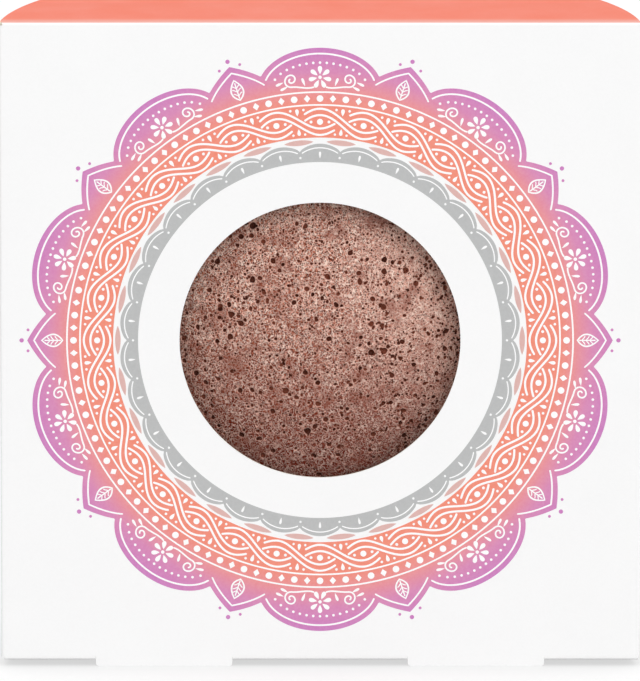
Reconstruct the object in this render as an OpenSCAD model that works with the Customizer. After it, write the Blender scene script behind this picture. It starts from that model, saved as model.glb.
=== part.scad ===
// Konjac sponge in its retail carton: a half-moon box of folding boxboard with a
// flat front, one curved wall for sides and back, a lid and a bottom flap that each
// tuck in at the back, a film window, and a dome-shaped konjac puff behind it.
// Millimetres, +Z up. The window faces -Y. The origin is under the middle of the box,
// on the surface that it stands on.

/* [Carton] */
// Width of the flat front
carton_w = 108; // [100:1:120]
// Height from the surface that the box stands on to the top of the lid
carton_h = 111; // [100:0.5:125]
// Depth from the front to the back of the curved wall
carton_d = 48; // [44:0.5:52]
// Caliper of the folding boxboard
board_t = 0.45; // [0.35:0.05:0.6]
// Width of the glue flap behind the right edge of the front
glue_flap_w = 12; // [8:0.5:16]
// Slant at each end of the glue flap
glue_flap_slant = 4; // [2:0.5:8]
// Distance of the glue flap from the top and the bottom of the front
glue_flap_inset = 2; // [1:0.5:5]
// Width of the line of glue on the glue flap
seam_glue_w = 6; // [4:0.5:7]

/* [Window] */
// Diameter of the die-cut window
window_d = 47.4; // [36:0.2:56]
// Height of the middle of the window
window_z = 56.4; // [50:0.2:62]
// Overlap of the film past the edge of the window
film_lap = 7; // [4:0.5:10]
// Corner radius of the film patch
film_corner_r = 4; // [2:0.5:8]
// Thickness of the cellulose film
film_t = 0.05; // [0.03:0.01:0.1]
// Width of the ring of glue that holds the film
film_glue_w = 3; // [2:0.5:4]
// Thickness of the glue under the film and in the side seam
glue_t = 0.05; // [0.03:0.01:0.1]

/* [Feet] */
// Width of each foot, a tab of the front that stays upright below the crease
foot_w = 23.1; // [16:0.1:30]
// Height of the feet, which lift the crease off the surface
foot_h = 1.1; // [0.8:0.1:2]
// Distance between the middles of the two feet
foot_spacing = 52.8; // [40:0.2:64]
// Radius of the lower corners of a foot
foot_corner_r = 0.5; // [0.3:0.1:0.7]

/* [Lid and bottom] */
// Width of each tuck flap
tuck_w = 26; // [20:0.5:32]
// Length of each tuck flap from its crease to its tip
tuck_l = 14; // [10:0.5:16]
// Corner radius at the tip of a tuck flap
tuck_corner_r = 5; // [3:0.5:8]
// Lean of a tucked flap away from the wall, in degrees
tuck_lean = 12; // [8:1:20]
// Clearance of the bottom and the tuck flaps from the curved wall
wall_clearance = 0.3; // [0.2:0.05:0.6]

/* [Sponge] */
// Diameter of the dry puff
sponge_d = 74; // [64:0.5:80]
// Radius of the broad crown that shows in the window
crown_r = 60; // [50:1:75]
// Radius of the shoulder between the crown and the side
shoulder_r = 17; // [12:0.5:20]
// Radius of the edge round the flat back of the puff
base_edge_r = 9; // [6:0.5:11]
// Clearance between the puff and the film or the wall
sponge_clearance = 0.3; // [0.2:0.05:0.6]

/* [Hidden] */
$fn = 96;

// Open line left at a crease, so that two folded panels never rub
crease_gap = 0.05;
// Room round a foot in the bottom flap
foot_clearance = 0.3;
// Share of a cutting tool that runs past what it cuts
overrun = 1;

front_y = -carton_d / 2;
back_y = carton_d / 2;
// Back of the front's board, and the plane of what is glued to it
inner_y = front_y + board_t;
glued_y = inner_y + glue_t;

// The curved wall is one arc through both front edges and the back
wall_r = (pow(carton_w / 2, 2) + pow(carton_d, 2)) / (2 * carton_d);
wall_in_r = wall_r - board_t;
wall_y = back_y - wall_r;
wall_top = carton_h - board_t - crease_gap;

panel_bottom = foot_h + board_t + crease_gap;

// A tuck flap's crease is a chord just inside the curved wall. The lid and the bottom
// end in front of the leaning board of the flap.
tuck_y = wall_y + sqrt(pow(wall_in_r, 2) - pow(tuck_w / 2, 2)) - wall_clearance;
tuck_depth = board_t / cos(tuck_lean) + board_t * tan(tuck_lean);
tuck_seat_y = tuck_y - tuck_depth - crease_gap;

film_w = window_d + 2 * film_lap;
film_glue_r = window_d / 2 + film_lap / 2;

// The puff's apex is just behind the film and the edge of its back just off the wall
apex_y = glued_y + film_t + sponge_clearance;
edge_reach = wall_in_r - sponge_clearance - base_edge_r;
edge_x = sponge_d / 2 - base_edge_r;
base_y = min(
    wall_y + base_edge_r + sqrt(pow(edge_reach, 2) - pow(edge_x, 2)),
    back_y - board_t - sponge_clearance
);
sponge_h = base_y - apex_y;
shoulder_x = sponge_d / 2 - shoulder_r;
crown_z = sponge_h - crown_r;
shoulder_z = crown_z + sqrt(pow(crown_r - shoulder_r, 2) - pow(shoulder_x, 2));
// Where the crown runs smoothly into the shoulder
crown_x = shoulder_x * crown_r / (crown_r - shoulder_r);

// Half-moon plate: the inside of an arc of radius r, behind the plane y = from_y
module half_moon(r, from_y, bottom, top) {
    intersection() {
        translate([0, wall_y, bottom])
            cylinder(r = r, h = top - bottom);
        translate([-carton_w, from_y, bottom])
            cube([2 * carton_w, 2 * carton_d, top - bottom]);
    }
}

// Upright plate of the given width and height, with its lower left corner at [x, z]
module upright(x, y, z, w, thick, h) {
    translate([x, y, z])
        cube([w, thick, h]);
}

// Round plug along Y
module plug(x, y, z, r, thick) {
    translate([x, y, z])
        rotate([-90, 0, 0])
            cylinder(r = r, h = thick);
}

// Foot: a tab with two rounded lower corners
module foot(x) {
    upright(x - foot_w / 2, front_y, foot_corner_r, foot_w, board_t,
            panel_bottom - foot_corner_r + board_t);
    upright(x - foot_w / 2 + foot_corner_r, front_y, 0, foot_w - 2 * foot_corner_r, board_t,
            panel_bottom);
    for (side = [-1, 1])
        plug(x + side * (foot_w / 2 - foot_corner_r), front_y, foot_corner_r,
             foot_corner_r, board_t);
}

// Flat front with its round window and two feet
module front_panel() {
    color("whitesmoke")
        difference() {
            union() {
                upright(-carton_w / 2, front_y, panel_bottom, carton_w, board_t,
                        wall_top - panel_bottom);
                for (side = [-1, 1])
                    foot(side * foot_spacing / 2);
            }
            plug(0, front_y - overrun * board_t, window_z, window_d / 2,
                 (1 + 2 * overrun) * board_t);
        }
}

// Curved wall from the left edge of the front, round the back, to its right edge
module back_wall() {
    color("snow")
        difference() {
            half_moon(wall_r, inner_y, 0, wall_top);
            half_moon(wall_in_r, front_y, -overrun * board_t, wall_top + overrun * board_t);
        }
}

// Flap at the right end of the wall, folded in behind the front
module glue_flap() {
    low = panel_bottom + glue_flap_inset;
    high = wall_top - glue_flap_inset;
    flap_x = carton_w / 2 - glue_flap_w;
    color("white")
        intersection() {
            translate([0, glued_y + board_t, 0])
                rotate([90, 0, 0])
                    linear_extrude(height = board_t)
                        polygon([
                            [carton_w / 2, low],
                            [carton_w / 2, high],
                            [flap_x, high - glue_flap_slant],
                            [flap_x, low + glue_flap_slant]
                        ]);
            half_moon(wall_in_r - crease_gap, front_y, 0, carton_h);
        }
}

// Line of glue between the glue flap and the front
module seam_glue() {
    margin = (glue_flap_w - seam_glue_w) / 4;
    low = panel_bottom + glue_flap_inset + glue_flap_slant;
    color("wheat")
        upright(carton_w / 2 - glue_flap_w + margin, inner_y, low, seam_glue_w, glue_t,
                wall_top - glue_flap_inset - glue_flap_slant - low);
}

// Film patch glued behind the window
module window_film() {
    half = film_w / 2 - film_corner_r;
    color("lightcyan", 0.4) {
        upright(-film_w / 2, glued_y, window_z - half, film_w, film_t, 2 * half);
        upright(-half, glued_y, window_z - film_w / 2, 2 * half, film_t, film_w);
        for (x = [-half, half], z = [-half, half])
            plug(x, glued_y, window_z + z, film_corner_r, film_t);
    }
}

// Ring of glue between the film and the back of the front
module film_glue() {
    color("wheat")
        difference() {
            plug(0, inner_y, window_z, film_glue_r + film_glue_w / 2, glue_t);
            plug(0, inner_y - overrun * glue_t, window_z, film_glue_r - film_glue_w / 2,
                 (1 + 2 * overrun) * glue_t);
        }
}

// Half-moon lid, hinged on the crease along the top of the front. It lies on the
// wall's top edge, and stops at the tuck flap's crease.
module top_lid() {
    color("salmon")
        difference() {
            half_moon(wall_r, front_y, carton_h - board_t, carton_h);
            translate([-tuck_w / 2 - wall_clearance, tuck_seat_y, carton_h - (1 + overrun) * board_t])
                cube([tuck_w + 2 * wall_clearance, carton_d, (1 + 2 * overrun) * board_t]);
        }
}

// Tuck flap that hangs from a crease at the origin, with a rounded tip, leaning to -Y
module tuck_flap() {
    intersection() {
        rotate([-tuck_lean, 0, 0]) {
            upright(-tuck_w / 2, -board_t, tuck_corner_r - tuck_l, tuck_w, board_t, tuck_l);
            upright(tuck_corner_r - tuck_w / 2, -board_t, -tuck_l, tuck_w - 2 * tuck_corner_r,
                    board_t, tuck_l);
            for (side = [-1, 1])
                plug(side * (tuck_w / 2 - tuck_corner_r), -board_t, tuck_corner_r - tuck_l,
                     tuck_corner_r, board_t);
        }
        translate([-tuck_w, -tuck_l, -2 * tuck_l])
            cube([2 * tuck_w, 2 * tuck_l, 2 * tuck_l]);
    }
}

module lid_tuck_flap() {
    color("salmon")
        translate([0, tuck_y, carton_h])
            tuck_flap();
}

// Half-moon bottom, hinged on the crease between the feet. It lies inside the wall.
module bottom_flap() {
    color("snow")
        difference() {
            half_moon(wall_in_r - wall_clearance, front_y, foot_h, foot_h + board_t);
            translate([-tuck_w / 2 - wall_clearance, tuck_seat_y, foot_h - overrun * board_t])
                cube([tuck_w + 2 * wall_clearance, carton_d, (1 + 2 * overrun) * board_t]);
            for (side = [-1, 1])
                translate([side * foot_spacing / 2 - foot_w / 2 - foot_clearance,
                           front_y - foot_clearance, foot_h - overrun * board_t])
                    cube([foot_w + 2 * foot_clearance, foot_h + board_t + 2 * foot_clearance,
                          (1 + 2 * overrun) * board_t]);
        }
}

module bottom_tuck_flap() {
    color("snow")
        translate([0, tuck_y, foot_h])
            mirror([0, 0, 1])
                tuck_flap();
}

// Half of the puff's outline, with the flat back along X and the axis along Y
module puff_outline() {
    intersection() {
        union() {
            intersection() {
                translate([0, crown_z])
                    circle(r = crown_r);
                square([crown_x, sponge_h]);
            }
            translate([shoulder_x, shoulder_z])
                circle(r = shoulder_r);
            translate([0, base_edge_r])
                square([sponge_d / 2, shoulder_z - base_edge_r]);
            translate([edge_x, base_edge_r])
                circle(r = base_edge_r);
            square([edge_x, base_edge_r]);
        }
        square([sponge_d / 2, sponge_h]);
    }
}

// Konjac puff: a broad crown towards the window, a round shoulder and a flat back
module sponge() {
    color("rosybrown")
        translate([0, base_y, window_z])
            rotate([90, 0, 0])
                rotate_extrude()
                    puff_outline();
}

front_panel();
back_wall();
glue_flap();
seam_glue();
window_film();
film_glue();
top_lid();
lid_tuck_flap();
bottom_flap();
bottom_tuck_flap();
sponge();
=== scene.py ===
# %% [markdown]
# # A konjac sponge in its window carton
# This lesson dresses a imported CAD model. The CAD gives every size, and every joint. What is
# missing is what the eye sees first: folded board with a printed wreath, a clear film, and
# the airy skin of a dry konjac puff. Blender's unit is a metre, so each size below is given
# in millimetres and multiplied by MM.

import math

import bmesh
import bpy
import numpy as np
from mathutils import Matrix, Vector
from mathutils.geometry import tessellate_polygon


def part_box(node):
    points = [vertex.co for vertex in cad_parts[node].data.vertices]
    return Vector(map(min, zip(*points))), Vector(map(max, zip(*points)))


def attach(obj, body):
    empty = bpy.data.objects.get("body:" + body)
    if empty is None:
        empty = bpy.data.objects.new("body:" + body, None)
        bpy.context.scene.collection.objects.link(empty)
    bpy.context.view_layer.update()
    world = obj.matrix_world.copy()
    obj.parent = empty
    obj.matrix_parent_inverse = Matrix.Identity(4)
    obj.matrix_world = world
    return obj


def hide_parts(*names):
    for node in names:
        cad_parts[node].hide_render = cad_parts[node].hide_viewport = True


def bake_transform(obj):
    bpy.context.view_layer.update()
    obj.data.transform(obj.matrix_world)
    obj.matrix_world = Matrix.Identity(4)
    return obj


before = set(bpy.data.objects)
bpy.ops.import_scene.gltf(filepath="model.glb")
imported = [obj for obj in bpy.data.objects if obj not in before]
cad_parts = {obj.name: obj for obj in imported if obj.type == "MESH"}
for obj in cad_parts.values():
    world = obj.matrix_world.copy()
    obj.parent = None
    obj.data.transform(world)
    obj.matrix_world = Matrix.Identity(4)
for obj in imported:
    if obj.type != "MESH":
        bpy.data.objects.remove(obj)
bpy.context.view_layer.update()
MM = 0.001

# %% [markdown]
# The sizes that the pieces share come out of the CAD boxes, so the looks can never drift
# away from the model. The curved wall is one arc through both front edges and the back.
# The visible boards are 0.03 mm thinner than the CAD's: that is the room for the ink.

# %% Sizes shared by the pieces
front_low, front_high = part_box("front_panel")
wall_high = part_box("back_wall")[1]
film_low, film_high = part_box("window_film")
puff_low, puff_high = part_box("sponge")
LID_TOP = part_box("top_lid")[1].z
TUCK_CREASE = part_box("lid_tuck_flap")[1].y
BOTTOM_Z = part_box("bottom_flap")[0].z
HALF_W = front_high.x
INK_ROOM = 0.03 * MM
FRONT_Y = front_low.y + INK_ROOM
BOARD_T = front_high.y - FRONT_Y
GLUED_Y = film_low.y
WINDOW_Z = (film_low.z + film_high.z) / 2
WINDOW_R = 23.7 * MM
DEPTH = wall_high.y - front_low.y
WALL_R = (HALF_W ** 2 + DEPTH ** 2) / (2 * DEPTH)
WALL_Y = wall_high.y - WALL_R
WALL_TOP = wall_high.z
FOLD_R = 0.5 * MM
print("board", round(BOARD_T / MM, 3), "mm, wall radius", round(WALL_R / MM, 3), "mm")

# %% [markdown]
# ## Camera
# The photograph has almost no perspective: the front's left and right edges are parallel.
# So the camera stands 3 m away with a very long lens, and looks down by 12 degrees, which
# shows the lid as a narrow strip. Half of the picture's height is 57.45 mm of the front.

# %% Camera
PITCH = math.radians(12)
CAMERA_DISTANCE = 3.0
HALF_HEIGHT = 57.45 * MM
AIM_DROP = 0.02 * MM
SENSOR = 36.0
camera_data = bpy.data.cameras.new("camera")
camera_data.sensor_width = SENSOR
camera_data.lens = SENSOR / 2 * CAMERA_DISTANCE / HALF_HEIGHT
camera_data.clip_end = 100
camera = bpy.data.objects.new("camera", camera_data)
bpy.context.scene.collection.objects.link(camera)
aim = Vector((0, front_low.y, WINDOW_Z - AIM_DROP))
back_off = Vector((0, -math.cos(PITCH), math.sin(PITCH)))
camera.location = aim + back_off * CAMERA_DISTANCE
camera.rotation_euler = (math.pi / 2 - PITCH, 0, 0)
bpy.context.scene.camera = camera
bpy.context.scene.view_settings.view_transform = "Standard"
print("lens", round(camera_data.lens, 1), "mm")

# %% [markdown]
# ## Helpers for materials
# Colours are written as they are picked on a screen, in sRGB hex. Cycles works with linear
# light, so one function turns them. A second function sets a node's inputs and draws its
# links, and a third adds a node with them, which keeps a long material readable.
#
# An input goes by its name, or by its number where a node has several of one name. A Map
# Range takes its value at 0, the span it comes from at 1 and 2, and the span it goes to at
# 3 and 4. A Mix of colours takes its share at 0 and the colours at 6 and 7, and gives the
# result at 2.

# %% Colour and node helpers
def linear(hex_code):
    """An sRGB hex colour as the linear RGBA that a socket takes."""
    shares = [int(hex_code[i:i + 2], 16) / 255 for i in (0, 2, 4)]
    light = [s / 12.92 if s <= 0.04045 else ((s + 0.055) / 1.055) ** 2.4 for s in shares]
    return (*light, 1.0)


def feed(node, inputs):
    """Sets inputs of a node. Each is a value, the socket that feeds it, or a node, which
    stands for its first output."""
    for name, value in inputs.items():
        if isinstance(value, bpy.types.Node):
            value = value.outputs[0]
        if isinstance(value, bpy.types.NodeSocket):
            node.id_data.links.new(value, node.inputs[name])
        else:
            node.inputs[name].default_value = value


def add(tree, kind, inputs=None, **settings):
    """A new node in tree, with its inputs as feed takes them. The setting stops fills a
    colour ramp with (place, hex colour) pairs."""
    made = tree.nodes.new(kind)
    stops = settings.pop("stops", None)
    for name, value in settings.items():
        setattr(made, name, value)
    for place, hex_code in stops or ():
        ramp = made.color_ramp.elements
        stop = ramp[-place] if place in (0, 1) else ramp.new(place)
        stop.color = linear(hex_code)
    feed(made, inputs or {})
    return made


def new_material(name):
    """An empty node material, its tree, its Principled shader and its Object coordinates."""
    material = bpy.data.materials.new(name)
    material.use_nodes = True
    tree = material.node_tree
    tree.nodes.clear()
    shader = add(tree, "ShaderNodeBsdfPrincipled")
    add(tree, "ShaderNodeOutputMaterial", {"Surface": shader})
    place = add(tree, "ShaderNodeTexCoord").outputs["Object"]
    return material, tree, shader, place


print("helpers ready")

# %% [markdown]
# ## Light and floor
# A product shot on white: a pale floor, an even white sky, and one broad soft lamp from
# above the camera's right shoulder. The sky shows as plain white to the camera and in
# reflections, but lights the object less, so that the lamp can model the puff. The floor
# is pale paper. For the camera it also glows, which makes it white where nothing stands,
# and it darkens near whatever stands on it. That gives the soft line of shadow that seats
# the carton.

# %% Sky, lamp and floor
SKY_LIGHT = 0.80
LAMP_STRENGTH = 1.58
LAMP_SPREAD = math.radians(60)
LAMP_HEIGHT = math.radians(18)
LAMP_SIDE = math.radians(14)
world = bpy.data.worlds.new("studio_sky")
bpy.context.scene.world = world
world.use_nodes = True
sky = world.node_tree
sky.nodes.clear()
ray = add(sky, "ShaderNodeLightPath")
seen = add(sky, "ShaderNodeMath", {0: ray.outputs["Is Camera Ray"],
                                   1: ray.outputs["Is Glossy Ray"]}, operation="MAXIMUM")
seen = add(sky, "ShaderNodeMath", {0: seen,
                                   1: ray.outputs["Is Transmission Ray"]}, operation="MAXIMUM")
level = add(sky, "ShaderNodeMapRange", {0: seen, 3: SKY_LIGHT, 4: 1.0})
glow = add(sky, "ShaderNodeBackground", {"Color": (1, 1, 1, 1), "Strength": level})
add(sky, "ShaderNodeOutputWorld", {"Surface": glow})

lamp_data = bpy.data.lights.new("soft_lamp", "SUN")
lamp_data.energy = LAMP_STRENGTH
lamp_data.angle = LAMP_SPREAD
lamp = bpy.data.objects.new("soft_lamp", lamp_data)
bpy.context.scene.collection.objects.link(lamp)
lamp.rotation_euler = (math.pi / 2 - LAMP_HEIGHT, 0, LAMP_SIDE)

FLOOR_HALF = 6.0
FLOOR_GLOW = 0.64
FLOOR_PAPER = 0.43
FLOOR_SEEN = 0.39
# How far contact darkens the paper, how dark it gets, and the openness that counts as free.
CONTACT_REACH = 20 * MM
CONTACT_SHADE = 0.3
CONTACT_OPEN = 0.95
floor_mesh = bpy.data.meshes.new("floor")
corners = [(x * FLOOR_HALF, y * FLOOR_HALF, 0) for x, y in ((-1, -1), (1, -1), (1, 1), (-1, 1))]
floor_mesh.from_pydata(corners, [], [(0, 1, 2, 3)])
floor = bpy.data.objects.new("floor", floor_mesh)
bpy.context.scene.collection.objects.link(floor)
white_floor, floor_tree, floor_shader, _ = new_material("pale_studio_paper")
floor_ray = add(floor_tree, "ShaderNodeLightPath")
contact = add(floor_tree, "ShaderNodeAmbientOcclusion", {"Distance": CONTACT_REACH})
seen_paper = add(floor_tree, "ShaderNodeMapRange", {
    0: contact.outputs["AO"], 1: 0.0, 2: CONTACT_OPEN, 3: CONTACT_SHADE * FLOOR_SEEN,
    4: FLOOR_SEEN})
paper = add(floor_tree, "ShaderNodeMapRange", {0: floor_ray.outputs["Is Camera Ray"],
                                               3: FLOOR_PAPER, 4: seen_paper})
floor_glow = add(floor_tree, "ShaderNodeMath", {0: floor_ray.outputs["Is Camera Ray"],
                                                1: FLOOR_GLOW}, operation="MULTIPLY")
feed(floor_shader, {"Base Color": paper, "Roughness": 0.9, "Specular IOR Level": 0.0,
                    "Emission Color": (1, 1, 1, 1), "Emission Strength": floor_glow})
floor_mesh.materials.append(white_floor)
print("sky", SKY_LIGHT, "lamp", LAMP_STRENGTH)

# %% [markdown]
# ## Board finishes
# Folding boxboard is a layered sheet. Its outside is clay-coated, printed and sealed with a
# satin varnish: very smooth, with a faint mottle where the coating is thicker. Its inside
# is bare: warm grey, matt, with fibres a millimetre or two long. The cut edge shows the
# middle plies, which are the warmest. Three materials on one mesh tell that story better
# than one, because the eye knows board by its edge.

# %% Coated outside, white and coral
COATING_MOTTLE = 9 * MM
PRINT_GRAIN = 0.35 * MM
BOARD_WAVE = 22 * MM
WAVE_HEIGHT = 0.05 * MM
GRAIN_HEIGHT = 0.01 * MM
# How far from a crease the ink is paler, and by what share at the crease itself. The pale
# is partly cracked ink and partly a painted highlight of the round fold.
FRONT_WEAR_AND_HIGHLIGHT = 4.6 * MM
TUCK_WEAR_AND_HIGHLIGHT = 1.2 * MM
WEAR_AND_HIGHLIGHT_SHARE = 0.52


def coated_board(name, colour_a, colour_b, shine, crease=None):
    """Coated and varnished board, mottled between two colours. crease is the place along Y
    of a fold, with the distance over which its ink pales and the paler colour."""
    material, tree, shader, place = new_material(name)
    mottle = add(tree, "ShaderNodeTexNoise", {"Vector": place, "Scale": 1 / COATING_MOTTLE,
                                              "Detail": 4.0, "Roughness": 0.6})
    grain = add(tree, "ShaderNodeTexNoise", {"Vector": place, "Scale": 1 / PRINT_GRAIN,
                                             "Detail": 2.0})
    both = add(tree, "ShaderNodeMath", {0: mottle, 1: grain}, operation="ADD")
    share = add(tree, "ShaderNodeMapRange", {0: both, 1: 0.75, 2: 1.25})
    tone = add(tree, "ShaderNodeMix", {0: share, 6: linear(colour_a),
                                       7: linear(colour_b)}, data_type="RGBA").outputs[2]
    # Near a crease the ink is paler: partly cracked ink, partly a painted highlight of the fold.
    for fold_y, reach, pale in crease or ():
        along = add(tree, "ShaderNodeSeparateXYZ", {0: place})
        away = add(tree, "ShaderNodeMath", {0: along.outputs[1], 1: fold_y}, operation="SUBTRACT")
        away = add(tree, "ShaderNodeMath", {0: away}, operation="ABSOLUTE")
        crease_wear_and_highlight = add(tree, "ShaderNodeMapRange", {0: away, 1: 0.0, 2: reach,
                                                3: WEAR_AND_HIGHLIGHT_SHARE, 4: 0.0},
                   interpolation_type="SMOOTHERSTEP")
        tone = add(tree, "ShaderNodeMix", {0: crease_wear_and_highlight, 6: tone, 7: linear(pale)},
                   data_type="RGBA").outputs[2]
    gloss = add(tree, "ShaderNodeMapRange", {0: mottle, 1: 0.3, 2: 0.7, 3: 0.42, 4: 0.54})
    wave = add(tree, "ShaderNodeTexNoise", {"Vector": place, "Scale": 1 / BOARD_WAVE,
                                            "Detail": 1.0})
    slow = add(tree, "ShaderNodeBump", {"Height": wave, "Strength": 0.25, "Distance": WAVE_HEIGHT})
    fine = add(tree, "ShaderNodeBump", {"Height": grain, "Strength": 0.12,
                                        "Distance": GRAIN_HEIGHT, "Normal": slow})
    feed(shader, {"Base Color": tone, "Roughness": gloss, "Normal": fine, "IOR": 1.45,
                  "Specular IOR Level": shine})
    return material


white_coat = coated_board("clay_coated_white_board", "FAFAFA", "F8F8F8", 0.3)
coral_coat = coated_board("coral_printed_board", "FD876F", "FB846B", 0.1,
                          crease=((front_low.y, FRONT_WEAR_AND_HIGHLIGHT, "F9D2C9"),
                                  (TUCK_CREASE, TUCK_WEAR_AND_HIGHLIGHT, "FBC2B6")))
print("made", white_coat.name, "and", coral_coat.name)

# %% Bare inside and cut edge
FIBRE_LENGTH = 1.6 * MM
FIBRE_WIDTH = 0.16 * MM
FIBRE_HEIGHT = 0.03 * MM
FIBRE_SLANTS = (0.5, -0.9)
FLECK_SIZE = 0.7 * MM


def bare_board(name, pale, dark, fleck, bump):
    """Uncoated board: fibres at two slants, and a few darker flecks."""
    material, tree, shader, place = new_material(name)
    fibres = []
    for turn in FIBRE_SLANTS:
        laid = add(tree, "ShaderNodeMapping", {
            "Vector": place, "Rotation": (turn, turn, turn),
            "Scale": (1 / FIBRE_LENGTH, 1 / FIBRE_WIDTH, 1 / FIBRE_LENGTH)})
        fibres.append(add(tree, "ShaderNodeTexNoise", {"Vector": laid, "Scale": 1.0,
                                                       "Detail": 3.0}))
    felt = add(tree, "ShaderNodeMath", {0: fibres[0], 1: fibres[1]}, operation="ADD")
    share = add(tree, "ShaderNodeMapRange", {0: felt, 1: 0.8, 2: 1.2})
    tone = add(tree, "ShaderNodeMix", {0: share, 6: linear(dark), 7: linear(pale)},
               data_type="RGBA")
    spots = add(tree, "ShaderNodeTexNoise", {"Vector": place, "Scale": 1 / FLECK_SIZE,
                                             "Detail": 3.0})
    few = add(tree, "ShaderNodeMapRange", {0: spots, 1: 0.66, 2: 0.74, 4: 0.5})
    tone = add(tree, "ShaderNodeMix", {0: few, 6: tone.outputs[2],
                                       7: linear(fleck)}, data_type="RGBA")
    rough = add(tree, "ShaderNodeBump", {"Height": felt, "Strength": bump,
                                         "Distance": FIBRE_HEIGHT})
    dull = add(tree, "ShaderNodeMapRange", {0: share, 3: 0.92, 4: 0.8})
    feed(shader, {"Base Color": tone.outputs[2], "Normal": rough, "Roughness": dull,
                  "Specular IOR Level": 0.2})
    return material


bare_inside = bare_board("uncoated_board_inside", "ECE8DF", "DDD7CB", "B9AE9B", 0.5)
cut_edge = bare_board("cut_board_edge", "F1ECE2", "DCD3C2", "C2B59E", 0.8)
print("made", bare_inside.name, "and", cut_edge.name)

# %% [markdown]
# ## Flat boards
# Each flat panel of the carton is an outline that a die cut from the sheet. One function
# makes them all: it fills the outline, copies it one board's thickness away, and joins the
# two with a wall. A die presses the printed side's edge slightly round, so each edge gets
# a tiny bevel. The bevel is made by drawing the outline again, a little smaller. That is
# steadier than a bevel modifier on a panel with a round hole in it.

# %% Board from an outline
EDGE_ROUND = 0.02 * MM
ROUND_MIDDLE = 0.3
MITRE_LIMIT = 0.3
SMOOTH_BELOW = math.radians(15)
BOARD_FINISH = {"outside": 0, "inside": 1, "edge": 2}


def signed_area(loop):
    """Twice the area of a loop of points, positive where it runs anticlockwise."""
    return sum(a[0] * b[1] - b[0] * a[1] for a, b in zip(loop, loop[1:] + loop[:1]))


def inset(loop, amount):
    """The loop moved by amount to its left, with mitred corners."""
    moved = []
    for before, here, after in zip(loop[-1:] + loop[:-1], loop, loop[1:] + loop[:1]):
        first = Vector((here[0] - before[0], here[1] - before[1])).normalized()
        second = Vector((after[0] - here[0], after[1] - here[1])).normalized()
        left = Vector((-first.y - second.y, first.x + second.x)).normalized()
        stretch = amount / max(MITRE_LIMIT, left.dot(Vector((-first.y, first.x))))
        moved.append((here[0] + left.x * stretch, here[1] + left.y * stretch))
    return moved


def add_board(mesh, loops, place, thickness=BOARD_T, rounding=EDGE_ROUND, layers=BOARD_FINISH):
    """Adds a board to a bmesh. loops is its outline and its holes as (u, v) points, and
    place turns (u, v, depth below the printed face) into a point in space."""
    turned = []
    for number, loop in enumerate(loops):
        runs_left = signed_area(loop) > 0
        turned.append(loop if runs_left == (number == 0) else loop[::-1])
    part = rounding * ROUND_MIDDLE
    steps = [(rounding, 0), (part, part), (0, rounding),
             (0, thickness - rounding), (part, thickness - part), (rounding, thickness)]
    finish = ("outside", "outside", "edge", "inside", "inside")
    if rounding == 0:
        steps = [(0, 0), (0, thickness)]
        finish = ("edge",)
    faces = []
    ends = [[], []]
    for loop in turned:
        rings = []
        for amount, depth in steps:
            ring = inset(loop, amount) if amount else loop
            rings.append([mesh.verts.new(place(u, v, depth)) for u, v in ring])
        flat = inset(loop, rounding) if rounding else loop
        ends[0].append((flat, rings[0]))
        ends[1].append((flat, rings[-1]))
        for (upper, lower), side in zip(zip(rings, rings[1:]), finish):
            for i in range(len(upper)):
                j = (i + 1) % len(upper)
                face = mesh.faces.new((upper[i], upper[j], lower[j], lower[i]))
                face.material_index = layers[side]
                faces.append(face)
    for side, end in zip(("outside", "inside"), ends):
        flat = [[Vector((u, v, 0)) for u, v in loop] for loop, _ in end]
        corners = [vert for _, ring in end for vert in ring]
        for triangle in tessellate_polygon(flat):
            if len(set(triangle)) == 3:
                face = mesh.faces.new([corners[k] for k in triangle])
                face.material_index = layers[side]
                faces.append(face)
    bmesh.ops.recalc_face_normals(mesh, faces=faces)


def finish_piece(name, mesh, materials):
    """Turns a bmesh into an object at the origin, smooth except at its sharper edges."""
    data = bpy.data.meshes.new(name)
    mesh.to_mesh(data)
    mesh.free()
    for material in materials:
        data.materials.append(material)
    data.polygons.foreach_set("use_smooth", [True] * len(data.polygons))
    data.set_sharp_from_angle(angle=SMOOTH_BELOW)
    piece = bpy.data.objects.new(name, data)
    bpy.context.scene.collection.objects.link(piece)
    print(name, len(data.polygons), "faces")
    return piece


def spread(low, high, count):
    """Even steps from low to high, both ends included."""
    return [low + (high - low) * i / count for i in range(count + 1)]


def arc(centre, radius, start, end, count):
    """Points on an arc, with the angles in degrees and both ends included."""
    return [(centre[0] + radius * math.cos(math.radians(a)),
             centre[1] + radius * math.sin(math.radians(a))) for a in spread(start, end, count)]


def circle(centre, radius, count):
    """Points round a circle, the first of them not repeated."""
    return arc(centre, radius, 0, 360 * (count - 1) / count, count - 1)


print("edges rounded by", EDGE_ROUND / MM, "mm")

# %% [markdown]
# ## Folds
# A fold in board is round outside and almost sharp inside. In cross-section it is a ring
# sector that runs tangent to both panels, a little fuller at its middle, where the crease
# has squeezed the plies into a bead. The same sector serves the two corners of the front
# and the four creases that move, so one function works it out from the corner and the two
# directions that leave it.

# %% Fold section and swept board
FOLD_STEPS = 18
FOLD_BEAD = 0.12


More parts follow.
